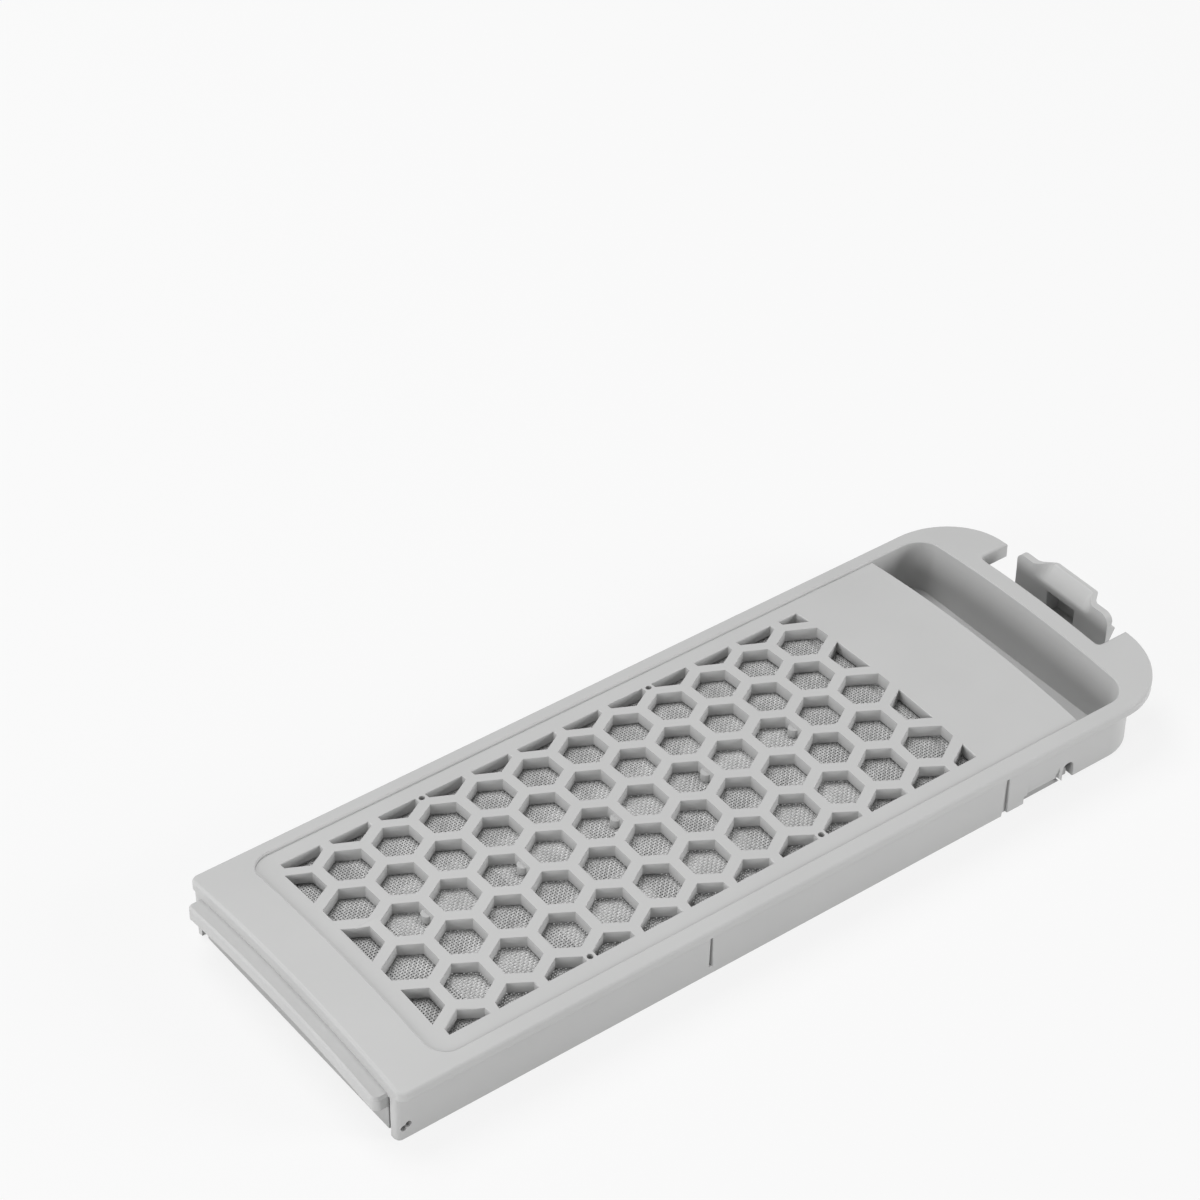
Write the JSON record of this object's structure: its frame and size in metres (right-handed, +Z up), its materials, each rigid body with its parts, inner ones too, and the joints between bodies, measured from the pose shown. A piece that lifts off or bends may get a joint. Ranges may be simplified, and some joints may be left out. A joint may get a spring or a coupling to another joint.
{
  "type": "lint filter box",
  "caption": "Flat crowned lint filter box with a honeycomb grille over a mesh screen, finger pocket, hook lip, hinged rear cover and a springy latch.",
  "frame": {"origin": "centre of the bounding box at the height of the bottom edges on which the box rests", "axes": "+X along the box from the hook lip to the latch, +Y across the box, +Z up out of the grille"},
  "size_m": [0.1722, 0.0608, 0.0136],
  "materials": {
    "case_plastic": "fine satin light grey moulding",
    "cover_plastic": "fine satin light grey moulding",
    "mesh": "fine woven grey nylon",
    "latch_plastic": "fine satin light grey moulding"
  },
  "bodies": {
    "case": {"front_case": "case_plastic", "filter_mesh": "mesh"},
    "cover": {"rear_cover": "cover_plastic"},
    "catch": {"latch": "latch_plastic"}
  },
  "joints": [
    {"name": "cover_hinge", "type": "hinge", "parent": "case", "child": "cover", "pos_m": [-0.08174, 0, 0.00263], "axis": [0, 1, 0], "range_deg": [0, 110]},
    {"name": "latch_press", "type": "hinge", "parent": "case", "child": "catch", "pos_m": [0.0827, 0, 0.0026], "axis": [0, -1, 0], "range_deg": [0, 12], "stiffness_Nm_per_rad": 0.38}
  ]
}
